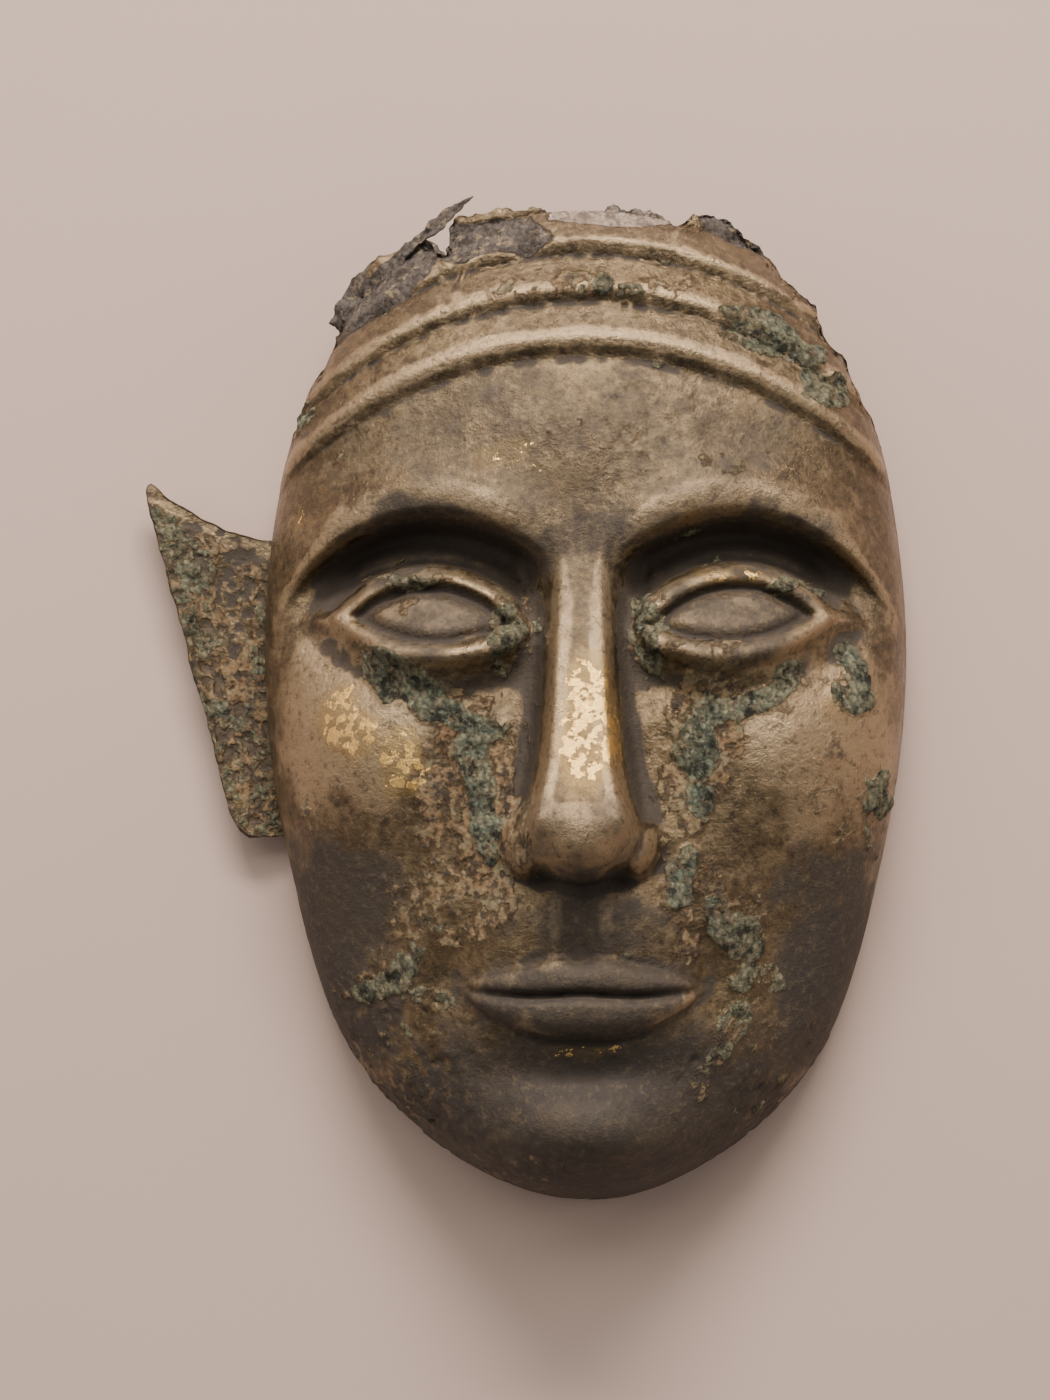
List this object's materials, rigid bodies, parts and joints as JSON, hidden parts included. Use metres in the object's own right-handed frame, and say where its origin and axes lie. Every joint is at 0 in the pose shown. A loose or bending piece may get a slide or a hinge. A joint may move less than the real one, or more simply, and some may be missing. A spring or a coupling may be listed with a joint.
{
  "type": "cast bronze face mask",
  "caption": "Hollow cast bronze face mask on its back rim, with a calm face under a rolled head-band, a pointed ear plate on one side and a torn crown.",
  "frame": {"origin": "middle of the bounding box, ear plate included, on the surface that the back rim lies on", "axes": "+Z out of the face, +Y towards the torn crown, +X to the side without an ear plate"},
  "size_m": [0.1414, 0.1814, 0.0576],
  "materials": {
    "bronze": "satin, olive-brown patina with green crust and traces of gilding"
  },
  "bodies": {
    "root": {"mask": "bronze"}
  },
  "joints": []
}
